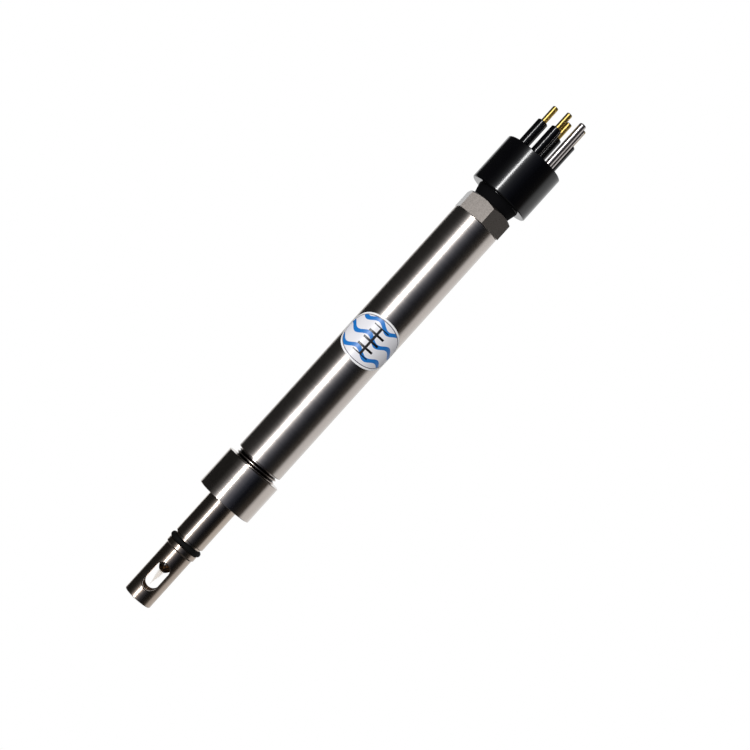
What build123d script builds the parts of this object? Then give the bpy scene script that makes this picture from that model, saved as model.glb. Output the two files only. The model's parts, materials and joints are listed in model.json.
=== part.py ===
from build123d import *
import math
import os

# Underwater hydrogen sulfide sensor, in millimetres. The origin is the middle of the barrel,
# +Z runs along the axis towards the connector, and the sticker faces -Y.

# Barrel: one turned titanium tube, closed at the top by a tapped end wall and ending below
# in a threaded neck. The thread itself is not cut: the neck has its root diameter.
barrel_d = 24.0
barrel_length = 145.6
barrel_wall = 3.5
barrel_end_wall = 14.8
barrel_edge = 0.35
neck_step = 1.9
thread_depth = 0.9
neck_showing = 3.55
neck_engaged = 11.65
neck_edge = 0.6

# Running and seating clearances, on the radius.
slide_clearance = 0.05
turn_clearance = 0.1
seat_clearance = 0.1

# Union nut, which draws the sensor head against the end of the neck.
nut_wall = 3.175
nut_floor = 4.2
nut_edge = 0.2
nut_mouth_edge = 0.5
nut_thread_clearance = 0.05

# Retaining ring, sprung into a groove of the nut above the head's flange.
ring_thickness = 1.0
ring_grip = 0.35
ring_lap = 0.6
ring_gap_width = 4.0
ring_end_play = 0.2
ring_groove_play = 0.075

# Sensor head: one turned titanium piece of spigot, hub, flange, shaft, seal shoulder and nose.
spigot_length = 14.0
spigot_edge = 0.5
hub_inset = 0.8
hub_height = 1.9
flange_play = 0.75
flange_thickness = 2.3
shaft_d = 15.2
shaft_length = 23.3
shaft_edge = 0.3
shoulder_d = 13.6
shoulder_length = 0.9
nose_d = 11.6
nose_length = 10.4
head_bore_d = 8.0

# O-ring of the spigot, and how far the corners of each seal's section are rounded.
seal_roundness = 0.96
spigot_ring_radial = 1.4
spigot_ring_axial = 2.2
spigot_groove_width = 2.5
spigot_groove_from_hub = 4.5

# O-ring between the shaft's shoulder and the cage, which seals a flow cell.
shaft_ring_radial = 2.5
shaft_ring_axial = 2.6
shaft_groove_width = 2.7

# Protective cage: a tube with two opposite slots and a wider collar at its top.
cage_d = 14.3
cage_wall = 1.3
cage_length = 30.95
cage_edge = 0.25
cage_collar_d = 15.4
cage_collar_length = 3.1
cage_collar_flare = 0.7
cage_slot_length = 14.7
cage_slot_width = 7.0
cage_slot_from_rim = 6.05
cage_slot_edge = 0.4

# Resin plug, which ends in a rounded drop, and glass capillary.
resin_length = 23.0
resin_step_d = 6.8
resin_step_length = 2.4
resin_tip_d = 3.2
resin_taper_length = 4.7
resin_bulge = 0.7
glass_d = 2.8
glass_bore_d = 1.6
glass_taper_length = 7.8
glass_tip_d = 0.2
glass_tip_wall_length = 1.2

# Electrode wires, each led up to a pin of the head's plug.
electrode_count = 3
electrode_d = 0.3
electrode_circle_r = 0.42
electrode_into_taper = 0.6
electrode_spread_length = 14.0
electrode_bend_r = 12.0

# Plug on top of the head, and the socket in the barrel that it enters.
plug_wall = 2.45
plug_height = 6.0
plug_pin_d = 1.0
plug_pin_circle_r = 3.5
plug_pin_below = 1.5
plug_pin_above = 6.8
socket_height = 9.0
socket_pin_depth = 7.0
socket_gap = 0.6
socket_slot_depth = 4.0

# Circuit board, which ends short of the connector's spigot. Two spacers part it into bays,
# and each chip or capacitor has its bay and its height from the middle of that bay.
board_edge_gap = 1.5
board_thickness = 1.6
board_headroom = 20.4
board_slot_clearance = 0.05
spacer_thickness = 3.0
spacer_from_board_top = 15.6
chip_width = 5.0
chip_length = 6.2
chip_height = 1.6
chip_places = ((0, -8.0), (0, 8.0), (1, -8.0), (1, 8.0))
capacitor_d = 5.0
capacitor_headroom = 2.3
capacitor_places = ((0, -3.0), (1, -7.0), (1, 7.0))

# Connector shell: hexagon, threaded spigot and the barrel that the moulding grips.
hex_across_flats = 23.0
hex_height = 9.4
hex_face_inset = 0.2
hex_chamfer_degrees = 30.0
hex_corner_degrees = -81.5
shell_spigot_d = 15.8
shell_spigot_length = 12.8
shell_bore_d = 9.0
shell_grip_d = 15.0
shell_grip_length = 6.2
shell_flange_d = 21.0
shell_flange_thickness = 2.5

# O-ring in a groove under the hexagon.
shell_ring_mean_r = 9.45
shell_ring_radial = 1.9
shell_ring_axial = 1.3
shell_groove_width = 2.1

# Moulded connector body with its four contact sleeves.
moulding_d = 30.5
moulding_length = 24.5
moulding_edge = 0.4
moulding_neck_d = 19.4
moulding_neck_top_d = 22.2
moulding_neck_length = 5.45
moulding_pocket_d = 20.0
moulding_pocket_height = 7.0
sleeve_d = 5.4
sleeve_length = 15.3
sleeve_edge = 0.4

# Contacts, each with a thicker shank in the moulding, and guide pins. A guide pin has its x,
# its y and the height that it stands above the moulding.
contact_count = 4
contact_circle_r = 8.2
contact_first_degrees = -8.8
contact_shank_d = 3.4
contact_shank_proud = 0.2
contact_d = 2.85
contact_showing = 8.8
contact_tip_edge = 0.35
contact_tail = 3.0
guide_pin_d = 3.4
guide_pin_tip_r = 0.8
guide_pin_depth = 11.0
guide_pins = ((6.4, -9.1, 24.45), (7.65, -5.8, 22.85))

# Wires from the board to the contacts.
wire_d = 1.1
wire_bundle_r = 2.2
wire_pad_inset = 3.0
wire_pad_length = 5.6
wire_above_board = 2.4
wire_gathered_below = 4.0
wire_bend_r = 3.0
wire_tail_bend_r = 0.9
wire_below_tail = 2.0

# Sticker: an oval that wraps more than half way round the barrel.
sticker_along = 24.1
sticker_around = 45.6
sticker_thickness = 0.12
sticker_height = 0.8
sticker_faces_degrees = -90.0
sticker_half_points = 24

# Heights that follow from the sizes above, from the connector's side down to the cage.
barrel_top = barrel_length / 2
barrel_bottom = -barrel_length / 2
hex_top = barrel_top + hex_height
moulding_bottom = hex_top + moulding_neck_length
moulding_top = moulding_bottom + moulding_length
sleeve_top = moulding_top + sleeve_length
shell_top = hex_top + shell_grip_length + shell_flange_thickness
pocket_top = shell_top + moulding_pocket_height
contact_bottom = pocket_top - contact_tail
nut_top = barrel_bottom - neck_showing
neck_bottom = nut_top - neck_engaged
flange_top = neck_bottom - hub_height
flange_bottom = flange_top - flange_thickness
nut_bottom = flange_bottom - nut_floor
shaft_bottom = nut_bottom - shaft_length
shoulder_bottom = shaft_bottom - shoulder_length
cage_top = shoulder_bottom - shaft_groove_width
cage_bottom = cage_top - cage_length
nose_bottom = shoulder_bottom - nose_length
spigot_top = neck_bottom + spigot_length
plug_bottom = spigot_top - plug_height
resin_top = nose_bottom + resin_length
resin_bottom = nose_bottom - resin_step_length - resin_taper_length
glass_tip = resin_bottom - glass_taper_length
socket_bottom = spigot_top + socket_gap
socket_top = socket_bottom + socket_height
board_bottom = socket_top - socket_slot_depth
shell_bottom = barrel_top - shell_spigot_length
board_top = shell_bottom - board_headroom
upper_spacer = board_top - spacer_from_board_top
lower_spacer = (socket_top + upper_spacer - spacer_thickness) / 2
spacer_heights = (lower_spacer, upper_spacer)
bay_middles = (
    (socket_top + lower_spacer) / 2,
    (lower_spacer + spacer_thickness + upper_spacer) / 2,
)
ring_bottom = flange_top + ring_end_play
spigot_groove_bottom = neck_bottom + spigot_groove_from_hub

# Widths that follow from the barrel's, shared by pieces that fit together.
barrel_r = barrel_d / 2
bore_r = barrel_r - barrel_wall
neck_r = barrel_r - neck_step
nut_bore_r = neck_r + thread_depth + nut_thread_clearance
nut_r = nut_bore_r + nut_wall
flange_r = nut_bore_r - flange_play
spigot_r = bore_r - slide_clearance
plug_r = spigot_r - plug_wall
cage_bore_r = cage_d / 2 - cage_wall
board_width = 2 * (bore_r - board_edge_gap)
capacitor_height = bore_r - board_thickness / 2 - capacitor_headroom
wire_pad_x = board_width / 2 - wire_pad_inset


def turned(points):
    """A solid turned about Z from the (radius, height) corners of its section."""
    outline = Polyline(*[(radius, 0, height) for radius, height in points], close=True)
    return revolve(make_face(outline), Axis.Z)


def rod(diameter, low, high, x=0.0, y=0.0):
    """A round bar along Z between two heights."""
    bar = Cylinder(diameter / 2, high - low, align=(Align.CENTER, Align.CENTER, Align.MIN))
    return Pos(x, y, low) * bar


def seal_ring(mean_r, radial, axial, height):
    """A seal ring about Z, round in section but flattened on the sides that are squeezed."""
    corner_r = seal_roundness * min(radial, axial) / 2
    section = Plane.XZ * Pos(mean_r, height) * RectangleRounded(radial, axial, corner_r)
    return revolve(section, Axis.Z)


def on_circle(radius, degrees):
    """The x and y of a point on a circle about Z."""
    return radius * math.cos(math.radians(degrees)), radius * math.sin(math.radians(degrees))


def wire_along(points, radii, diameter):
    """A round wire through the points, with its corners rounded."""
    path = FilletPolyline(*points, radius=radii)
    section = Plane(origin=path @ 0, z_dir=path % 0) * Circle(diameter / 2)
    return sweep(section, path=path)


def board_slot(low, high):
    """The slot that the board's edge or end sits in, between two heights."""
    width = board_width + 2 * board_slot_clearance
    thickness = board_thickness + 2 * board_slot_clearance
    slot = Box(width, thickness, high - low, align=(Align.CENTER, Align.CENTER, Align.MIN))
    return Pos(0, 0, low) * slot


def in_bays(places):
    """The heights of parts that are placed from the middles of the board's bays."""
    return [bay_middles[bay] + offset for bay, offset in places]


def contact_places():
    """The places of the contacts, evenly spaced on their circle."""
    step = 360.0 / contact_count
    return [on_circle(contact_circle_r, contact_first_degrees + step * i) for i in range(contact_count)]


def plug_pin_places():
    """The places of the head's plug pins."""
    step = 360.0 / electrode_count
    return [on_circle(plug_pin_circle_r, 90 + step * i) for i in range(electrode_count)]


def housing_tube():
    """Barrel with its bore, tapped end wall and threaded neck."""
    tapped_r = shell_spigot_d / 2 + slide_clearance
    wall_bottom = barrel_top - barrel_end_wall
    return turned([
        (bore_r, neck_bottom),
        (neck_r - neck_edge, neck_bottom),
        (neck_r, neck_bottom + neck_edge),
        (neck_r, barrel_bottom),
        (barrel_r - barrel_edge, barrel_bottom),
        (barrel_r, barrel_bottom + barrel_edge),
        (barrel_r, barrel_top - barrel_edge),
        (barrel_r - barrel_edge, barrel_top),
        (tapped_r, barrel_top),
        (tapped_r, wall_bottom),
        (bore_r, wall_bottom),
    ])


def union_nut():
    """Turned nut with a floor under the head's flange and a groove for the retaining ring."""
    floor_r = shaft_d / 2 + turn_clearance
    groove_r = nut_bore_r + ring_grip + ring_groove_play
    groove_low = ring_bottom - ring_groove_play
    groove_high = ring_bottom + ring_thickness + ring_groove_play
    return turned([
        (floor_r, nut_bottom),
        (nut_r - nut_edge, nut_bottom),
        (nut_r, nut_bottom + nut_edge),
        (nut_r, nut_top - nut_edge),
        (nut_r - nut_edge, nut_top),
        (nut_bore_r + nut_mouth_edge, nut_top),
        (nut_bore_r, nut_top - nut_mouth_edge),
        (nut_bore_r, groove_high),
        (groove_r, groove_high),
        (groove_r, groove_low),
        (nut_bore_r, groove_low),
        (nut_bore_r, flange_bottom),
        (floor_r, flange_bottom),
    ])


def retaining_ring():
    """Split spring ring that laps over the head's flange."""
    outer_r = nut_bore_r + ring_grip
    inner_r = flange_r - ring_lap
    ring_top = ring_bottom + ring_thickness
    ring = rod(2 * outer_r, ring_bottom, ring_top) - rod(2 * inner_r, ring_bottom, ring_top)
    gap = Box(outer_r, ring_gap_width, ring_thickness, align=(Align.MIN, Align.CENTER, Align.MIN))
    return ring - Pos(0, 0, ring_bottom) * gap


def head_shaft():
    """Sensor head from its spigot in the barrel down to its nose in the cage."""
    groove_r = spigot_r - spigot_ring_radial
    groove_low = spigot_groove_bottom
    groove_high = groove_low + spigot_groove_width
    shaft_r = shaft_d / 2
    head_bore_r = head_bore_d / 2
    return turned([
        (head_bore_r, nose_bottom),
        (nose_d / 2, nose_bottom),
        (nose_d / 2, shoulder_bottom),
        (shoulder_d / 2, shoulder_bottom),
        (shoulder_d / 2, shaft_bottom),
        (shaft_r - shaft_edge, shaft_bottom),
        (shaft_r, shaft_bottom + shaft_edge),
        (shaft_r, flange_bottom),
        (flange_r, flange_bottom),
        (flange_r, flange_top),
        (flange_r - hub_inset, flange_top),
        (flange_r - hub_inset, neck_bottom),
        (spigot_r, neck_bottom),
        (spigot_r, groove_low),
        (groove_r, groove_low),
        (groove_r, groove_high),
        (spigot_r, groove_high),
        (spigot_r, spigot_top - spigot_edge),
        (spigot_r - spigot_edge, spigot_top),
        (plug_r, spigot_top),
        (plug_r, plug_bottom),
        (head_bore_r, plug_bottom),
    ])


def head_o_ring():
    """Seal in the spigot's groove."""
    mean_r = spigot_r - spigot_ring_radial / 2
    height = spigot_groove_bottom + spigot_groove_width / 2
    return seal_ring(mean_r, spigot_ring_radial, spigot_ring_axial, height)


def shaft_o_ring():
    """Seal on the nose, between the shaft's shoulder and the cage."""
    mean_r = nose_d / 2 + shaft_ring_radial / 2
    height = shoulder_bottom - shaft_groove_width / 2
    return seal_ring(mean_r, shaft_ring_radial, shaft_ring_axial, height)


def protective_cage():
    """Cage tube with its collar and the two slots that let water reach the glass."""
    cage_r = cage_d / 2
    collar_r = cage_collar_d / 2
    collar_bottom = cage_top - cage_collar_length
    tube = turned([
        (cage_bore_r, cage_bottom),
        (cage_r - cage_edge, cage_bottom),
        (cage_r, cage_bottom + cage_edge),
        (cage_r, collar_bottom),
        (collar_r, collar_bottom + cage_collar_flare),
        (collar_r, cage_top - cage_edge),
        (collar_r - cage_edge, cage_top),
        (cage_bore_r, cage_top),
    ])
    slot_middle = cage_bottom + cage_slot_from_rim + cage_slot_length / 2
    slot = SlotOverall(cage_slot_length, cage_slot_width, rotation=90)
    cutter = extrude(Plane.XZ * Pos(0, slot_middle) * slot, cage_d, both=True)
    cage = tube - cutter
    cylinders = cage.faces().filter_by(GeomType.CYLINDER)
    outside = [face for face in cylinders if math.isclose(face.radius, cage_r)][0]
    slot_rims = [edge for rim in outside.inner_wires() for edge in rim.edges()]
    return chamfer(slot_rims, cage_slot_edge)


def resin_plug():
    """Cast resin that fills the nose, holds the glass and ends on it in a rounded drop."""
    glass_r = glass_d / 2
    drop_top = (resin_step_d / 2, 0, nose_bottom - resin_step_length)
    drop_end = (resin_tip_d / 2, 0, resin_bottom)
    bulging = (resin_tip_d / 2 + resin_step_d / 2) / 2 + resin_bulge
    drop = ThreePointArc(drop_top, (bulging, 0, (drop_top[2] + resin_bottom) / 2), drop_end)
    rest = Polyline(
        drop_end,
        (glass_r, 0, resin_bottom),
        (glass_r, 0, resin_top),
        (head_bore_d / 2, 0, resin_top),
        (head_bore_d / 2, 0, nose_bottom),
        (resin_step_d / 2, 0, nose_bottom),
        drop_top,
    )
    return revolve(make_face([drop, rest]), Axis.Z)


def glass_capillary():
    """Drawn glass tube, with its bore closed just above the tip."""
    glass_r = glass_d / 2
    bore_end = glass_tip + glass_tip_wall_length
    drawn_curve = Spline(
        (glass_r, 0, resin_bottom),
        (glass_tip_d / 2, 0, glass_tip),
        tangents=[(0, 0, -1), (-glass_r, 0, -2 * glass_taper_length)],
    )
    outside = [
        drawn_curve,
        Polyline((glass_tip_d / 2, 0, glass_tip), (0, 0, glass_tip), (0, 0, resin_top)),
        Polyline((0, 0, resin_top), (glass_r, 0, resin_top), (glass_r, 0, resin_bottom)),
    ]
    inside = [
        Spline(
            (glass_bore_d / 2, 0, resin_bottom),
            (0, 0, bore_end),
            tangents=[(0, 0, -1), (-glass_bore_d / 2, 0, glass_tip - resin_bottom)],
        ),
        Polyline((0, 0, bore_end), (0, 0, resin_top)),
        Polyline((0, 0, resin_top), (glass_bore_d / 2, 0, resin_top), (glass_bore_d / 2, 0, resin_bottom)),
    ]
    return revolve(make_face(outside), Axis.Z) - revolve(make_face(inside), Axis.Z)


def electrode_lead(index):
    """Electrode wire from inside the glass up to its pin of the plug."""
    step = 360.0 / electrode_count
    start = on_circle(electrode_circle_r, 90 + step * index)
    end = plug_pin_places()[index]
    pin_bottom = plug_bottom - plug_pin_below
    points = [
        (*start, resin_bottom - electrode_into_taper),
        (*start, resin_top),
        (*end, resin_top + electrode_spread_length),
        (*end, pin_bottom),
    ]
    return wire_along(points, [electrode_bend_r, electrode_bend_r], electrode_d)


def plug_pin(index):
    """Pin of the head's plug."""
    low = plug_bottom - plug_pin_below
    return rod(plug_pin_d, low, spigot_top + plug_pin_above, *plug_pin_places()[index])


def head_plug():
    """Insulator pressed into the top of the spigot, which carries the pins."""
    plug = rod(2 * plug_r, plug_bottom, spigot_top)
    for x, y in plug_pin_places():
        plug -= rod(plug_pin_d, plug_bottom, spigot_top, x, y)
    return plug


def head_socket():
    """Socket that the head's pins enter from below and the board from above."""
    socket = rod(2 * (bore_r - seat_clearance), socket_bottom, socket_top)
    for x, y in plug_pin_places():
        hole_d = plug_pin_d + 2 * slide_clearance
        socket -= rod(hole_d, socket_bottom, socket_bottom + socket_pin_depth, x, y)
    return socket - board_slot(board_bottom, socket_top)


def circuit_board():
    """Long narrow board of the measuring amplifier."""
    length = board_top - board_bottom
    board = Box(board_width, board_thickness, length, align=(Align.CENTER, Align.CENTER, Align.MIN))
    return Pos(0, 0, board_bottom) * board


def board_spacer(height):
    """Disc that holds the board on the axis of the bore."""
    disc = rod(2 * (bore_r - seat_clearance), height, height + spacer_thickness)
    return disc - board_slot(height, height + spacer_thickness)


def amplifier_chips():
    """Chips on the front face of the board."""
    chip = Box(chip_width, chip_height, chip_length, align=(Align.CENTER, Align.MAX, Align.CENTER))
    return Compound([Pos(0, -board_thickness / 2, height) * chip for height in in_bays(chip_places)])


def filter_capacitors():
    """Capacitors that stand on the back face of the board."""
    can = Cylinder(capacitor_d / 2, capacitor_height, align=(Align.CENTER, Align.CENTER, Align.MIN))
    standing = Rot(X=-90) * can
    back = board_thickness / 2
    return Compound([Pos(0, back, height) * standing for height in in_bays(capacitor_places)])


def hexagon_prism():
    """The shell's hexagon, its upper corners cut back by a cone."""
    corner_r = hex_across_flats / 2 / math.cos(math.radians(30))
    flat_to_corner = Plane.XY * Rot(Z=hex_corner_degrees) * RegularPolygon(corner_r, 6)
    prism = Pos(0, 0, barrel_top) * extrude(flat_to_corner, hex_height)
    face_r = hex_across_flats / 2 - hex_face_inset
    cone_height = (corner_r - face_r) * math.tan(math.radians(hex_chamfer_degrees))
    envelope = turned([
        (0, barrel_top),
        (corner_r, barrel_top),
        (corner_r, hex_top - cone_height),
        (face_r, hex_top),
        (0, hex_top),
    ])
    return prism & envelope


def hex_shell():
    """Metal shell of the connector: hexagon, spigot below and the moulding's grip above."""
    flange_low = hex_top + shell_grip_length
    spigot = rod(shell_spigot_d, shell_bottom, barrel_top)
    grip = rod(shell_grip_d, hex_top, flange_low)
    flange = rod(shell_flange_d, flange_low, shell_top)
    shell = hexagon_prism() + spigot + grip + flange
    groove_low_r = shell_ring_mean_r - shell_groove_width / 2
    groove_high_r = shell_ring_mean_r + shell_groove_width / 2
    groove_top = barrel_top + shell_ring_axial
    groove = rod(2 * groove_high_r, barrel_top, groove_top) - rod(2 * groove_low_r, barrel_top, groove_top)
    return shell - groove - rod(shell_bore_d, shell_bottom, shell_top)


def connector_o_ring():
    """Seal between the hexagon and the end of the barrel."""
    height = barrel_top + shell_ring_axial / 2
    return seal_ring(shell_ring_mean_r, shell_ring_radial, shell_ring_axial, height)


def guide_pin(index):
    """Plain steel pin with a rounded tip, cast into the moulding."""
    x, y, showing = guide_pins[index]
    pin = rod(guide_pin_d, moulding_top - guide_pin_depth, moulding_top + showing, x, y)
    return fillet(pin.edges().sort_by(Axis.Z)[-1], guide_pin_tip_r)


def contact_pin(index):
    """Gold-plated contact, from its solder tail up to the bare end above the sleeve."""
    x, y = contact_places()[index]
    shank_top = sleeve_top + contact_shank_proud
    pin = rod(contact_d, shank_top, sleeve_top + contact_showing, x, y)
    pin = chamfer(pin.edges().sort_by(Axis.Z)[-1], contact_tip_edge)
    return pin + rod(contact_shank_d, contact_bottom, shank_top, x, y)


def connector_body():
    """One rubber moulding: neck, body and a sleeve round each contact."""
    neck_r = moulding_neck_d / 2
    body_r = moulding_d / 2
    body = turned([
        (0, hex_top),
        (neck_r, hex_top),
        (moulding_neck_top_d / 2, moulding_bottom),
        (body_r - moulding_edge, moulding_bottom),
        (body_r, moulding_bottom + moulding_edge),
        (body_r, moulding_top - moulding_edge),
        (body_r - moulding_edge, moulding_top),
        (0, moulding_top),
    ])
    for x, y in contact_places():
        sleeve = rod(sleeve_d, moulding_top, sleeve_top, x, y)
        body += chamfer(sleeve.edges().sort_by(Axis.Z)[-1], sleeve_edge)
    flange_low = hex_top + shell_grip_length
    body -= rod(shell_grip_d, hex_top, flange_low)
    body -= rod(shell_flange_d, flange_low, shell_top)
    body -= rod(moulding_pocket_d, shell_top, pocket_top)
    for x, y in contact_places():
        body -= rod(contact_shank_d, pocket_top, sleeve_top, x, y)
    for x, y, showing in guide_pins:
        body -= rod(guide_pin_d, moulding_top - guide_pin_depth, moulding_top, x, y)
    return body


def connector_wire(index):
    """Wire from its pad on the board, up through the shell and out to its contact."""
    step = 360.0 / contact_count
    degrees = contact_first_degrees + step * index
    pad_x, pad_y = on_circle(1, degrees)
    pad_x = math.copysign(wire_pad_x, pad_x)
    pad_y = math.copysign(board_thickness / 2 + wire_d / 2, pad_y)
    bundle = on_circle(wire_bundle_r, degrees)
    tail = contact_places()[index]
    turn_height = contact_bottom - wire_below_tail
    points = [
        (pad_x, pad_y, board_top - wire_pad_length),
        (pad_x, pad_y, board_top + wire_above_board),
        (*bundle, shell_bottom - wire_gathered_below),
        (*bundle, turn_height),
        (*tail, turn_height),
        (*tail, contact_bottom),
    ]
    radii = [wire_bend_r, wire_bend_r, wire_tail_bend_r, wire_tail_bend_r]
    return wire_along(points, radii, wire_d)


def sticker():
    """Thin oval film wrapped round the barrel, centred on the front."""
    outline = []
    for i in range(2 * sticker_half_points):
        angle = math.pi * i / sticker_half_points
        turn = sticker_faces_degrees + math.degrees(sticker_around / 2 * math.cos(angle) / barrel_r)
        height = sticker_height + sticker_along / 2 * math.sin(angle)
        outline.append((*on_circle(barrel_r, turn), height))
    edge = Wire([Edge.make_spline(outline, periodic=True)])
    seam_at_back = Rot(Z=sticker_faces_degrees + 180) * Cylinder(barrel_r, barrel_length)
    wall = seam_at_back.faces().filter_by(GeomType.CYLINDER)[0]
    return Solid.thicken(wall.split_by_perimeter(edge, Keep.INSIDE), sticker_thickness)


def build_parts():
    """Every piece of the sensor by the name of its node."""
    parts = {
        "housing_tube": housing_tube(),
        "union_nut": union_nut(),
        "retaining_ring": retaining_ring(),
        "head_shaft": head_shaft(),
        "head_o_ring": head_o_ring(),
        "shaft_o_ring": shaft_o_ring(),
        "protective_cage": protective_cage(),
        "resin_plug": resin_plug(),
        "glass_capillary": glass_capillary(),
        "head_plug": head_plug(),
        "head_socket": head_socket(),
        "circuit_board": circuit_board(),
        "amplifier_chips": amplifier_chips(),
        "filter_capacitors": filter_capacitors(),
        "hex_shell": hex_shell(),
        "connector_o_ring": connector_o_ring(),
        "connector_body": connector_body(),
        "sticker": sticker(),
    }
    for i in range(electrode_count):
        parts[f"electrode_lead_{i + 1}"] = electrode_lead(i)
        parts[f"plug_pin_{i + 1}"] = plug_pin(i)
    for i, height in enumerate(spacer_heights):
        parts[f"board_spacer_{i + 1}"] = board_spacer(height)
    for i in range(contact_count):
        parts[f"contact_pin_{i + 1}"] = contact_pin(i)
        parts[f"connector_wire_{i + 1}"] = connector_wire(i)
    for i in range(len(guide_pins)):
        parts[f"guide_pin_{i + 1}"] = guide_pin(i)
    return parts


os.makedirs("parts", exist_ok=True)
for name, shape in build_parts().items():
    export_step(shape, f"parts/{name}.step")
    print(f"{name}: {shape.volume:.1f} mm3")
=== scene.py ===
import bpy
import json
import math
import numpy as np
from mathutils import Matrix, Vector


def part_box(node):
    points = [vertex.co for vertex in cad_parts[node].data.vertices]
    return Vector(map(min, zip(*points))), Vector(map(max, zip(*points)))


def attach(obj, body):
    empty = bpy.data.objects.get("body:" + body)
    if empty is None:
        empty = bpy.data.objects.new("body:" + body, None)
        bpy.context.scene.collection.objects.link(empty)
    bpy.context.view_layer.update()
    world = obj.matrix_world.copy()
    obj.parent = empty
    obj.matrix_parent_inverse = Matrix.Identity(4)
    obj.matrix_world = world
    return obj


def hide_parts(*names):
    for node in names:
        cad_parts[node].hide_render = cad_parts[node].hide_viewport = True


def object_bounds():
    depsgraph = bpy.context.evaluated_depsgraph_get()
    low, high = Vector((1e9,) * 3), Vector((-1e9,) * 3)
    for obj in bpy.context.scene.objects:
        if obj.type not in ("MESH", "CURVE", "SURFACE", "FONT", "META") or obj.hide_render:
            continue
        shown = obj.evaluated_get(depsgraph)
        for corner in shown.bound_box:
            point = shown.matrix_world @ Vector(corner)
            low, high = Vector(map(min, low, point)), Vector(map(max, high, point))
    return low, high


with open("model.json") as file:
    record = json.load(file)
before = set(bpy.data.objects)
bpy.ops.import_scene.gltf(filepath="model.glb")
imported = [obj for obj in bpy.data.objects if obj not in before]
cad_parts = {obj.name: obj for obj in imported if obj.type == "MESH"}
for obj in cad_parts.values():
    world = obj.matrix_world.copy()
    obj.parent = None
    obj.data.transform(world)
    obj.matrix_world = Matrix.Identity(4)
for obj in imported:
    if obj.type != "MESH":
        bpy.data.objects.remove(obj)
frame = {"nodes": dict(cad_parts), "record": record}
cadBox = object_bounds()
scene = bpy.context.scene
mm = 0.001
white = (1.0, 1.0, 1.0, 1.0)
print("frame loaded:", len(frame["nodes"]), "nodes")


# Colours, nodes and meshes

def linearColour(hexCode):
    # sRGB hex to the linear values that the shaders work in
    channels = [int(hexCode[i:i + 2], 16) / 255 for i in (1, 3, 5)]
    return [c / 12.92 if c <= 0.04045 else ((c + 0.055) / 1.055) ** 2.4 for c in channels] + [1.0]


def addNode(tree, kind, settings=None, links=None):
    # settings holds attributes and socket values, links holds socket name or number -> output socket
    node = tree.nodes.new(kind)
    for name, value in (settings or {}).items():
        if isinstance(name, int) or name in node.inputs:
            node.inputs[name].default_value = value
        else:
            setattr(node, name, value)
    for name, source in (links or {}).items():
        tree.links.new(source, node.inputs[name])
    return node


def calculate(tree, operation, *values):
    # Each value is a number or an output socket
    settings = {i: v for i, v in enumerate(values) if isinstance(v, (int, float))}
    links = {i: v for i, v in enumerate(values) if i not in settings}
    return addNode(tree, "ShaderNodeMath", {"operation": operation, **settings}, links).outputs["Value"]


def noise(tree, place, scale, detail):
    node = addNode(tree, "ShaderNodeTexNoise", {"Scale": scale, "Detail": detail}, {"Vector": place})
    return node.outputs["Fac"]


def mapRange(tree, value, toLow, toHigh, fromLow=0.0, fromHigh=1.0):
    settings = {"From Min": fromLow, "From Max": fromHigh, "To Min": toLow, "To Max": toHigh}
    return addNode(tree, "ShaderNodeMapRange", settings, {"Value": value}).outputs["Result"]


def scaleColour(tree, hexCode, factor):
    settings = {"operation": "SCALE", 0: linearColour(hexCode)[:3]}
    return addNode(tree, "ShaderNodeVectorMath", settings, {"Scale": factor}).outputs["Vector"]


def mixColours(tree, share, first, second):
    # share 0 gives the first colour, 1 the second. Each is a colour or an output socket.
    ends = {6: first, 7: second}
    settings = {i: end for i, end in ends.items() if isinstance(end, (list, tuple))}
    links = {i: end for i, end in ends.items() if i not in settings}
    mixed = addNode(tree, "ShaderNodeMix", {"data_type": "RGBA", **settings}, {0: share, **links})
    return mixed.outputs[2]


def bumpNormal(tree, height, depth):
    # depth in millimetres
    bump = addNode(tree, "ShaderNodeBump", {"Strength": 1.0, "Distance": depth * mm}, {"Height": height})
    return bump.outputs["Normal"]


def turnAndHeight(tree, place):
    # Angle round the probe, from the camera's side (-Y) towards the right (+X), and the height
    xyz = addNode(tree, "ShaderNodeSeparateXYZ", {}, {"Vector": place}).outputs
    front = calculate(tree, "MULTIPLY", xyz["Y"], -1.0)
    return calculate(tree, "ARCTAN2", xyz["X"], front), xyz["Z"]


def newMaterial(name):
    # Also gives the object's own coordinates, which every pattern here is laid in
    material = bpy.data.materials.new(name)
    material.use_nodes = True
    tree = material.node_tree
    tree.nodes.clear()
    surface = addNode(tree, "ShaderNodeBsdfPrincipled")
    addNode(tree, "ShaderNodeOutputMaterial", {}, {"Surface": surface.outputs["BSDF"]})
    place = addNode(tree, "ShaderNodeTexCoord").outputs["Object"]
    return material, tree, surface, place


def meshPiece(name, points, faces, material, smooth=True):
    # points is an (n, 3) array in metres, faces an (m, 4) array of corners
    mesh = bpy.data.meshes.new(name)
    mesh.from_pydata(points.tolist(), [], faces.tolist())
    mesh.update()
    mesh.polygons.foreach_set("use_smooth", np.full(len(mesh.polygons), smooth))
    mesh.materials.append(material)
    piece = bpy.data.objects.new(name, mesh)
    scene.collection.objects.link(piece)
    return piece


# Metals

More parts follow.
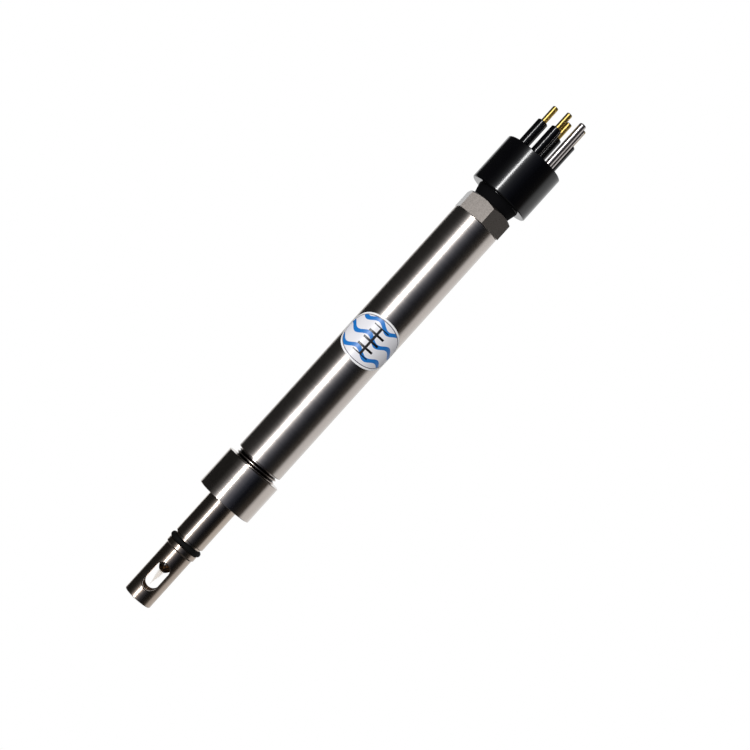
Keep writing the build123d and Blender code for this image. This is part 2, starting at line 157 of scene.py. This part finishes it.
turnedMetals = {
    # bar-turned titanium: warm grey, hair-fine rings round the axis that soften the reflections
    "barrel": {"hex": "#c6beb8", "roughness": 0.21, "ringSpacing": 0.6, "ringDepth": 0.0020, "mottle": 0.03},
    "collar": {"hex": "#c4bbb4", "roughness": 0.13, "ringSpacing": 0.5, "ringDepth": 0.0020, "mottle": 0.03},
    "shaft": {"hex": "#baada1", "roughness": 0.17, "ringSpacing": 0.5, "ringDepth": 0.0020, "mottle": 0.03},
    "cage": {"hex": "#ad9f93", "roughness": 0.20, "ringSpacing": 0.9, "ringDepth": 0.0100, "mottle": 0.05},
}
turnedSurface = {
    # noise scales per metre, how much a ring dulls the gloss, and the range of the cloudy tone
    "acrossScale": 25, "patchScale": 90.0, "ringGloss": 0.06, "tone": (0.93, 1.05),
}


def turnedTitanium(name, hexCode, roughness, ringSpacing, ringDepth, mottle):
    # Titanium turned on a lathe. The real feed marks are about 0.1 mm apart, too fine to show,
    # so the rings are drawn at ringSpacing millimetres.
    t = turnedSurface
    material, tree, surface, place = newMaterial(name)
    scale = (t["acrossScale"], t["acrossScale"], 1 / (ringSpacing * mm))
    stretched = addNode(tree, "ShaderNodeMapping", {"Scale": scale}, {"Vector": place})
    rings = noise(tree, stretched.outputs["Vector"], 1.0, 3.0)
    patches = noise(tree, place, t["patchScale"], 2.0)
    wear = mapRange(tree, patches, roughness - mottle, roughness + mottle)
    ringed = calculate(tree, "MULTIPLY_ADD", rings, t["ringGloss"], wear)
    surface.inputs["Metallic"].default_value = 1.0
    tone = mapRange(tree, patches, *t["tone"])
    tree.links.new(scaleColour(tree, hexCode, tone), surface.inputs["Base Color"])
    tree.links.new(ringed, surface.inputs["Roughness"])
    tree.links.new(bumpNormal(tree, rings, ringDepth), surface.inputs["Normal"])
    return material


def milledTitanium(name):
    # Titanium hexagon, milled and then blasted: an even satin with small dark specks.
    # Where it is seen at a slant, its colour is mixed towards white: a painted sheen.
    look = {"hex": "#8d8782", "roughness": 0.44, "grain": 0.5, "grainDepth": 0.010,
            "speckTone": 0.72, "speckFrom": 0.3, "speckTo": 0.6, "paintedSheenFrom": 0.65, "paintedSheenTo": 0.80}
    material, tree, surface, place = newMaterial(name)
    grain = noise(tree, place, 1 / (look["grain"] * mm), 4.0)
    specks = mapRange(tree, grain, look["speckTone"], 1.0, look["speckFrom"], look["speckTo"])
    slant = addNode(tree, "ShaderNodeLayerWeight", {"Blend": 0.5}).outputs["Facing"]
    # painted sheen: the base colour goes towards white as the face turns away from the view
    paintedSheen = mapRange(tree, slant, 0.0, 1.0, look["paintedSheenFrom"], look["paintedSheenTo"])
    colour = mixColours(tree, paintedSheen, scaleColour(tree, look["hex"], specks), white)
    surface.inputs["Metallic"].default_value = 1.0
    surface.inputs["Roughness"].default_value = look["roughness"]
    tree.links.new(colour, surface.inputs["Base Color"])
    tree.links.new(bumpNormal(tree, grain, look["grainDepth"]), surface.inputs["Normal"])
    return material


smoothMetals = {
    # plated and drawn metals: low roughness with a slight waviness from handling
    "goldPlate": {"hex": "#c4a960", "roughness": 0.36, "mottle": 0.03, "grain": 1.6, "edge": 0.2},
    "polishedSteel": {"hex": "#d6cfcd", "roughness": 0.28, "mottle": 0.03, "grain": 2.0, "edge": 0.2},
    "platinumWire": {"hex": "#cfcbc4", "roughness": 0.25, "mottle": 0.05, "grain": 0.4, "edge": 0.8},
    "drawnAluminium": {"hex": "#c9cacc", "roughness": 0.30, "mottle": 0.05, "grain": 1.5, "edge": 0.9},
}
smoothTone = (0.88, 1.06)


def smoothMetal(name, hexCode, roughness, mottle, grain, edge):
    # Drawn or plated metal with faint cloudy patches, grain millimetres across. The edge value
    # darkens it where it is seen at a slant.
    material, tree, surface, place = newMaterial(name)
    clouds = noise(tree, place, 1 / (grain * mm), 2.0)
    rough = mapRange(tree, clouds, roughness - mottle, roughness + mottle)
    surface.inputs["Metallic"].default_value = 1.0
    surface.inputs["Specular Tint"].default_value = (edge, edge, edge, 1.0)
    tone = mapRange(tree, clouds, *smoothTone)
    tree.links.new(scaleColour(tree, hexCode, tone), surface.inputs["Base Color"])
    tree.links.new(rough, surface.inputs["Roughness"])
    return material


def threadTitanium(name):
    # The crests are as bright as the barrel; the grooves between them get a painted shade, a near-black colour
    # mixed in by radius
    look = {"crest": "#d0c6be", "root": "#15110f", "roughness": 0.25, "fromRadius": 10.3, "toRadius": 10.95}
    material, tree, surface, place = newMaterial(name)
    flat = addNode(tree, "ShaderNodeVectorMath", {"operation": "MULTIPLY", 1: (1.0, 1.0, 0.0)}, {0: place})
    radius = addNode(tree, "ShaderNodeVectorMath", {"operation": "LENGTH"}, {0: flat.outputs["Vector"]})
    height = mapRange(tree, radius.outputs["Value"], 0.0, 1.0, look["fromRadius"] * mm, look["toRadius"] * mm)
    # painted shade: the colour darkens from the crest towards the thread's root
    colour = mixColours(tree, height, linearColour(look["root"]), linearColour(look["crest"]))
    surface.inputs["Metallic"].default_value = 1.0
    surface.inputs["Roughness"].default_value = look["roughness"]
    tree.links.new(colour, surface.inputs["Base Color"])
    return material


# Rubber, plastic, resin and glass

# millimetres: just below the underside of the connector's wide body
connectorNeckTop = 87.6

mouldedLooks = {
    # grain in millimetres and its depth, and the sheen of the moulded skin
    "neoprene": {"hex": "#050507", "roughness": 0.17, "grain": 0.7, "depth": 0.002, "ior": 1.54,
                 "dullBelow": connectorNeckTop},
    "sealRubber": {"hex": "#050505", "roughness": 0.75, "grain": 0.5, "depth": 0.004, "ior": 1.30},
    "plugPlastic": {"hex": "#b9a98a", "roughness": 0.45, "grain": 0.8, "depth": 0.004, "ior": 1.55},
    "boardLaminate": {"hex": "#14502a", "roughness": 0.35, "grain": 0.5, "depth": 0.006, "ior": 1.5},
    "chipPlastic": {"hex": "#1a1a1b", "roughness": 0.50, "grain": 0.3, "depth": 0.005, "ior": 1.5},
    "wireCover": {"hex": "#9a1c18", "roughness": 0.40, "grain": 0.6, "depth": 0.003, "ior": 1.46},
}
mouldedSkin = {
    "cloudScale": 120.0, "glossFrom": -0.04, "glossTo": 0.05, "tone": (0.75, 1.25),
    "dullRoughness": 0.65, "shine": 0.5, "dullShine": -0.4,
}


def mouldedPolymer(name, hexCode, roughness, grain, depth, ior, dullBelow=None):
    # Rubber or plastic out of a mould: a fine skin grain and slightly uneven gloss.
    # Below the height dullBelow, in millimetres, the skin is dull.
    m = mouldedSkin
    material, tree, surface, place = newMaterial(name)
    skin = noise(tree, place, 1 / (grain * mm), 3.0)
    clouds = noise(tree, place, m["cloudScale"], 2.0)
    rough = mapRange(tree, clouds, roughness + m["glossFrom"], roughness + m["glossTo"])
    if dullBelow is not None:
        height = turnAndHeight(tree, place)[1]
        dull = calculate(tree, "LESS_THAN", height, dullBelow * mm)
        rough = calculate(tree, "MULTIPLY_ADD", dull, m["dullRoughness"], rough)
        shine = calculate(tree, "MULTIPLY_ADD", dull, m["dullShine"], m["shine"])
        tree.links.new(shine, surface.inputs["Specular IOR Level"])
    surface.inputs["IOR"].default_value = ior
    tone = mapRange(tree, skin, *m["tone"])
    tree.links.new(scaleColour(tree, hexCode, tone), surface.inputs["Base Color"])
    tree.links.new(rough, surface.inputs["Roughness"])
    tree.links.new(bumpNormal(tree, skin, depth), surface.inputs["Normal"])
    return material


def castResin(name):
    # Potting resin, dark brown, with amber streaks where light gets into it
    look = {"dark": "#0b0502", "darkTo": 0.50, "amber": "#5f3d17", "amberFrom": 0.72,
            "roughness": 0.22, "streak": 0.9, "ior": 1.55}
    material, tree, surface, place = newMaterial(name)
    streaks = noise(tree, place, 1 / (look["streak"] * mm), 2.0)
    mixed = addNode(tree, "ShaderNodeValToRGB", {}, {"Fac": streaks})
    ends = (look["darkTo"], look["dark"]), (look["amberFrom"], look["amber"])
    for stop, (position, hexCode) in zip(mixed.color_ramp.elements, ends):
        stop.position = position
        stop.color = linearColour(hexCode)
    surface.inputs["Roughness"].default_value = look["roughness"]
    surface.inputs["IOR"].default_value = look["ior"]
    tree.links.new(mixed.outputs["Color"], surface.inputs["Base Color"])
    return material


def drawnGlass(name):
    # Borosilicate glass drawn in a flame: clear, with long faint waves along the taper.
    # The index is set below that of real glass, so that its outline stays as faint as in the photo.
    look = {"hex": "#f0ece8", "roughness": 0.08, "wave": 2.0, "waveStretch": 5, "depth": 0.003, "ior": 1.10}
    material, tree, surface, place = newMaterial(name)
    scale = 1 / (look["wave"] * mm)
    stretched = addNode(tree, "ShaderNodeMapping", {"Scale": (scale, scale, scale / look["waveStretch"])},
                        {"Vector": place})
    waves = noise(tree, stretched.outputs["Vector"], 1.0, 1.0)
    surface.inputs["Base Color"].default_value = linearColour(look["hex"])
    surface.inputs["Transmission Weight"].default_value = 1.0
    surface.inputs["Roughness"].default_value = look["roughness"]
    surface.inputs["IOR"].default_value = look["ior"]
    tree.links.new(bumpNormal(tree, waves, look["depth"]), surface.inputs["Normal"])
    return material


# Sticker: printed vinyl film, an oval with a border line, waves and a depth scale.
# The film is narrower than the CAD node, which it replaces, because the photo shows it narrower.

print2d = {
    # sizes in millimetres, around the barrel from its front and along it
    "halfAround": 16.7, "halfAlong": 12.05, "centre": 0.8, "middle": 0.8, "radius": 12.1,
    "border": 0.9, "lineWidth": 0.4,
    "paper": "#f4f4f6", "field": "#e6e5ea", "line": "#63606c", "blue": "#0c74c6", "ink": "#0a080a",
    "wavePitch": 7.6, "waveHeight": 1.3, "waveLength": 12.0, "waveShare": 0.28,
    "scaleReach": 7.6, "scaleBar": 0.6, "tickPitch": 3.8, "tickWidth": 1.1, "tickReach": 4.2,
    "roughness": 0.38, "coat": 0.15, "coatRoughness": 0.2, "steps": 49,
}


def printedFilm(name):
    # The print is worked out from two lengths in millimetres: around the barrel and along it
    p = print2d
    material, tree, surface, place = newMaterial(name)
    turn, height = turnAndHeight(tree, place)
    around = calculate(tree, "MULTIPLY_ADD", turn, p["radius"], -p["centre"])
    along = calculate(tree, "MULTIPLY_ADD", height, 1 / mm, -p["middle"])
    flat = addNode(tree, "ShaderNodeCombineXYZ", {}, {"X": around, "Y": along}).outputs["Vector"]

    def insideOval(inset):
        # 1 inside the oval that lies inset millimetres in from the film's edge
        size = (p["halfAround"] - inset, p["halfAlong"] - inset, 1.0)
        share = addNode(tree, "ShaderNodeVectorMath", {"operation": "DIVIDE", 1: size}, {0: flat})
        reach = addNode(tree, "ShaderNodeVectorMath", {"operation": "LENGTH"}, {0: share.outputs["Vector"]})
        return calculate(tree, "LESS_THAN", reach.outputs["Value"], 1.0)

    crest = calculate(tree, "SINE", calculate(tree, "MULTIPLY", around, 2 * math.pi / p["waveLength"]))
    lifted = calculate(tree, "MULTIPLY_ADD", crest, p["waveHeight"], along)
    inPitch = calculate(tree, "FRACT", calculate(tree, "DIVIDE", lifted, p["wavePitch"]))
    waves = calculate(tree, "LESS_THAN", inPitch, p["waveShare"])

    sideways = calculate(tree, "ABSOLUTE", around)
    inReach = calculate(tree, "LESS_THAN", calculate(tree, "ABSOLUTE", along), p["scaleReach"])
    bar = calculate(tree, "LESS_THAN", sideways, p["scaleBar"])
    step = calculate(tree, "FRACT", calculate(tree, "MULTIPLY_ADD", along, 1 / p["tickPitch"], 0.5))
    nearTick = calculate(tree, "COMPARE", step, 0.5, p["tickWidth"] / p["tickPitch"] / 2)
    tick = calculate(tree, "MULTIPLY", nearTick, calculate(tree, "LESS_THAN", sideways, p["tickReach"]))
    scale = calculate(tree, "MULTIPLY", calculate(tree, "MAXIMUM", bar, tick), inReach)

    field = insideOval(p["border"] + p["lineWidth"])
    layers = [
        (insideOval(p["border"]), "line"), (field, "field"),
        (calculate(tree, "MULTIPLY", waves, field), "blue"), (calculate(tree, "MULTIPLY", scale, field), "ink"),
    ]
    colour = linearColour(p["paper"])
    for mask, paint in layers:
        colour = mixColours(tree, mask, colour, linearColour(p[paint]))
    surface.inputs["Roughness"].default_value = p["roughness"]
    surface.inputs["Coat Weight"].default_value = p["coat"]
    surface.inputs["Coat Roughness"].default_value = p["coatRoughness"]
    tree.links.new(colour, surface.inputs["Base Color"])
    return material


finishes = {}
for name, look in turnedMetals.items():
    finishes[name] = turnedTitanium(name + "TurnedTitanium", *look.values())
finishes["hexagon"] = milledTitanium("milledTitanium")
finishes["thread"] = threadTitanium("threadTitanium")
finishes.update({name: smoothMetal(name, *look.values()) for name, look in smoothMetals.items()})
finishes.update({name: mouldedPolymer(name, *look.values()) for name, look in mouldedLooks.items()})
finishes["resin"] = castResin("castResin")
finishes["glass"] = drawnGlass("drawnGlass")
finishes["film"] = printedFilm("printedFilm")
print("materials made:", len(finishes))


# Finish of each CAD node, by its slot in the record or by its own name

slotFinish = {
    "titanium": "barrel", "satin_titanium": "hexagon", "cage_titanium": "cage",
    "moulded_rubber": "neoprene", "seal_rubber": "sealRubber", "gold_plate": "goldPlate",
    "pin_steel": "polishedSteel", "glass": "glass", "brown_resin": "resin",
    "electrode_metal": "platinumWire", "plug_plastic": "plugPlastic", "board_laminate": "boardLaminate",
    "chip_plastic": "chipPlastic", "capacitor_can": "drawnAluminium", "wire_cover": "wireCover",
    "sticker_film": "film",
}
nodeFinish = {"union_nut": "collar", "head_shaft": "shaft"}

for part in frame["record"]["subparts"]:
    name = part["node"]
    finish = nodeFinish.get(name, slotFinish[part["material_slot"]])
    mesh = frame["nodes"][name].data
    mesh.materials.clear()
    mesh.materials.append(finishes[finish])


# Thread of the neck

threadSizes = {
    # millimetres. The thread starts bottomGap above the housing's lower end, and the barrel's
    # shoulder is neckLength above that end. skin keeps the root clear of the neck's own face.
    "rootRadius": 10.1, "crestRadius": 11.0, "pitch": 1.5, "inner": 10.02, "skin": 0.01,
    "neckLength": 15.2, "shoulderRelief": 0.45, "bottomGap": 0.65, "runOut": 0.5,
    "crestShare": 0.18, "rootShare": 0.22, "around": 180, "perPitch": 22,
}


def neckThread():
    # Right-hand thread as one closed sleeve. The outside's radius depends on the angle a and the
    # height z: the phase (z / pitch - a / turn) climbs a flank, crosses the crest and falls again.
    t = threadSizes
    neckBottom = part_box("housing_tube")[0].z / mm
    high = neckBottom + t["neckLength"] - t["shoulderRelief"]
    low = neckBottom + t["bottomGap"]
    rows = int((high - low) / t["pitch"] * t["perPitch"])
    angle = np.linspace(0, 2 * math.pi, t["around"], endpoint=False)
    a, z = np.meshgrid(angle, np.linspace(low, high, rows))
    phase = (z / t["pitch"] - a / (2 * math.pi)) % 1.0
    flank = (1 - t["crestShare"] - t["rootShare"]) / 2
    rise = 1 - np.clip((np.abs(phase - 0.5) - t["crestShare"] / 2) / flank, 0, 1)
    fade = np.clip(np.minimum(z - low, high - z) / t["runOut"], 0, 1)
    root = t["rootRadius"] + t["skin"]
    radius = root + (t["crestRadius"] - root) * rise * fade
    outer = np.stack([radius * np.cos(a), radius * np.sin(a), z], axis=-1)
    ai, zi = np.meshgrid(angle, np.array([high, low]))
    inner = np.stack([t["inner"] * np.cos(ai), t["inner"] * np.sin(ai), zi], axis=-1)
    grid = np.concatenate([outer, inner]) * mm
    count, width = grid.shape[:2]
    row = np.arange(count)[:, None]
    column = np.arange(width)[None, :]
    nextRow = (row + 1) % count
    nextColumn = (column + 1) % width
    corners = [row * width + column, row * width + nextColumn,
               nextRow * width + nextColumn, nextRow * width + column]
    faces = np.stack(np.broadcast_arrays(*corners), axis=-1).reshape(-1, 4)
    thread = meshPiece("neckThread", grid.reshape(-1, 3), faces, finishes["thread"])
    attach(thread, "housing")


neckThread()
print("thread made")


# Sticker film

def stickerFilm():
    # The square from -1 to 1 is pulled into an oval and laid round the barrel, as a closed film
    p = print2d
    steps = p["steps"]
    outerRadius = -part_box("sticker")[0].y / mm
    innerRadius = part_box("housing_tube")[1].x / mm
    side = np.linspace(-1, 1, steps)
    across, upward = np.meshgrid(side, side)
    turn = (p["centre"] + p["halfAround"] * across * np.sqrt(1 - upward ** 2 / 2)) / p["radius"]
    height = p["middle"] + p["halfAlong"] * upward * np.sqrt(1 - across ** 2 / 2)

    def layer(radius):
        return np.stack([radius * np.sin(turn), -radius * np.cos(turn), height], axis=-1).reshape(-1, 3)

    index = np.arange(steps * steps).reshape(steps, steps)
    top = np.stack([index[:-1, :-1], index[:-1, 1:], index[1:, 1:], index[1:, :-1]], axis=-1).reshape(-1, 4)
    rim = np.concatenate([index[0, :-1], index[:-1, -1], index[-1, :0:-1], index[:0:-1, 0]])
    following = np.roll(rim, -1)
    below = steps * steps
    edge = np.stack([following, rim, rim + below, following + below], axis=-1)
    points = np.concatenate([layer(outerRadius), layer(innerRadius)]) * mm
    faces = np.concatenate([top, top[:, ::-1] + below, edge])
    film = meshPiece("stickerFilm", points, faces, finishes["film"])
    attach(film, "housing")
    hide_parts("sticker")


stickerFilm()
print("sticker made")


# Studio: white surroundings for the camera, and bands of light and shade for the metal to reflect

studio = {
    # degrees round the probe from the camera's side, towards the right, with colour and strength
    "bands": [
        (-180, "#ffffff", 1.0), (-152, "#ffffff", 0.95), (-142, "#ffffff", 0.02), (-70, "#ffffff", 0.012),
        (-50, "#ffffff", 0.07), (-32, "#f4f8ff", 0.50), (-16, "#f4f8ff", 0.50), (0, "#e0e8ff", 0.20),
        (18, "#c8d8ff", 0.06), (36, "#98b4ff", 0.008), (56, "#ffffff", 0.012), (74, "#fff0e0", 0.05),
        (82, "#fff0e0", 0.07), (90, "#ffffff", 0.55), (98, "#ffffff", 0.82), (135, "#ffffff", 0.90),
        (180, "#ffffff", 1.0),
    ],
    # the bands darken towards straight up and straight down
    "darkFrom": 0.35, "darkTo": 0.60, "darkShare": 0.06,
    "fill": 0.35,
    # sizes in metres, angle in degrees
    "stripAngle": -24.5, "stripDistance": 1.2, "stripWidth": 0.10, "stripHeight": 1.0, "stripRadiance": 36.0,
    "floorDrop": 0.10, "floorRadius": 0.20, "floorHub": 0.02, "floorSteps": 96, "floor": "#6f6f6f",
}


def surroundings():
    # Camera and transmission rays see white; gloss sees the bands; soft light is an even fill
    world = bpy.data.worlds.new("studioWorld")
    scene.world = world
    world.use_nodes = True
    tree = world.node_tree
    tree.nodes.clear()
    turn, height = turnAndHeight(tree, addNode(tree, "ShaderNodeTexCoord").outputs["Generated"])
    share = calculate(tree, "MULTIPLY_ADD", turn, 0.5 / math.pi, 0.5)
    ramp = addNode(tree, "ShaderNodeValToRGB", {}, {"Fac": share})
    stops = ramp.color_ramp.elements
    while len(stops) < len(studio["bands"]):
        stops.new(0.5)
    for stop, (degrees, hexCode, strength) in zip(stops, studio["bands"]):
        stop.position = (degrees + 180) / 360
        stop.color = [c * strength for c in linearColour(hexCode)[:3]] + [1.0]
    tilt = calculate(tree, "ABSOLUTE", height)
    level = mapRange(tree, tilt, 1.0, studio["darkShare"], studio["darkFrom"], studio["darkTo"])
    bands = addNode(tree, "ShaderNodeVectorMath", {"operation": "SCALE"},
                    {0: ramp.outputs["Color"], "Scale": level}).outputs["Vector"]
    ray = addNode(tree, "ShaderNodeLightPath").outputs
    through = calculate(tree, "MINIMUM", ray["Transmission Depth"], 1.0)
    seen = calculate(tree, "MAXIMUM", ray["Is Camera Ray"], through)
    fill = mixColours(tree, ray["Is Glossy Ray"], (*[studio["fill"]] * 3, 1.0), bands)
    background = addNode(tree, "ShaderNodeBackground", {}, {"Color": mixColours(tree, seen, fill, white)})
    addNode(tree, "ShaderNodeOutputWorld", {}, {"Surface": background.outputs["Background"]})


def stripLamp():
    # Tall narrow soft box that makes the long white highlight
    data = bpy.data.lights.new("stripLamp", "AREA")
    data.shape = "RECTANGLE"
    data.size = studio["stripWidth"]
    data.size_y = studio["stripHeight"]
    data.energy = studio["stripRadiance"] * math.pi * data.size * data.size_y
    lamp = bpy.data.objects.new("stripLamp", data)
    scene.collection.objects.link(lamp)
    turn = math.radians(studio["stripAngle"])
    lamp.location = studio["stripDistance"] * Vector((math.sin(turn), -math.cos(turn), 0))
    lamp.rotation_euler = (math.radians(90), 0, turn)
    lamp.visible_camera = False


def floorDisc():
    # Round table below the probe: grey to the lights and the metal, white to the camera
    steps = studio["floorSteps"]
    angle = np.linspace(0, 2 * math.pi, steps, endpoint=False)
    level = cadBox[0].z - studio["floorDrop"]
    rim = np.stack([np.cos(angle), np.sin(angle), np.zeros(steps)], axis=1) * studio["floorRadius"]
    hub = rim * studio["floorHub"]
    points = np.concatenate([rim, hub]) + np.array([0, 0, level])
    index = np.arange(steps)
    ahead = (index + 1) % steps
    faces = np.stack([index, ahead, ahead + steps, index + steps], axis=1)
    material = bpy.data.materials.new("paleTable")
    material.use_nodes = True
    tree = material.node_tree
    tree.nodes.clear()
    ray = addNode(tree, "ShaderNodeLightPath").outputs
    grey = addNode(tree, "ShaderNodeBsdfDiffuse", {"Color": linearColour(studio["floor"])})
    glow = addNode(tree, "ShaderNodeEmission", {"Strength": 1.0})
    seen = calculate(tree, "MAXIMUM", ray["Is Camera Ray"], ray["Is Transmission Ray"])
    mixed = addNode(tree, "ShaderNodeMixShader", {},
                    {0: seen, 1: grey.outputs["BSDF"], 2: glow.outputs["Emission"]})
    addNode(tree, "ShaderNodeOutputMaterial", {}, {"Surface": mixed.outputs["Shader"]})
    disc = meshPiece("paleTable", points, faces, material, smooth=False)


view = {
    # the probe stands upright in its own frame, so the camera is rolled to show it leaning;
    # places in millimetres, lean in degrees
    "place": (12.16, -788.0, -26.9), "aim": (12.16, 0.0, -8.76), "lean": 47.9, "lens": 84.0,
    "clipStart": 10.0,
}


def addCamera():
    data = bpy.data.cameras.new("camera")
    data.lens = view["lens"]
    data.clip_start = view["clipStart"] * mm
    camera = bpy.data.objects.new("camera", data)
    scene.collection.objects.link(camera)
    place = Vector(view["place"]) * mm
    forward = (Vector(view["aim"]) * mm - place).normalized()
    lean = math.radians(view["lean"])
    right = Vector((math.sin(lean), 0, math.cos(lean)))
    right = (right - right.dot(forward) * forward).normalized()
    up = right.cross(forward)
    turned = Matrix((right, up, -forward)).transposed()
    camera.matrix_world = Matrix.Translation(place) @ turned.to_4x4()
    scene.camera = camera


surroundings()
stripLamp()
floorDisc()
addCamera()
scene.view_settings.view_transform = "Standard"
scene.cycles.caustics_reflective = False
scene.cycles.caustics_refractive = False
scene.cycles.blur_glossy = 0.5
print("studio and camera made")
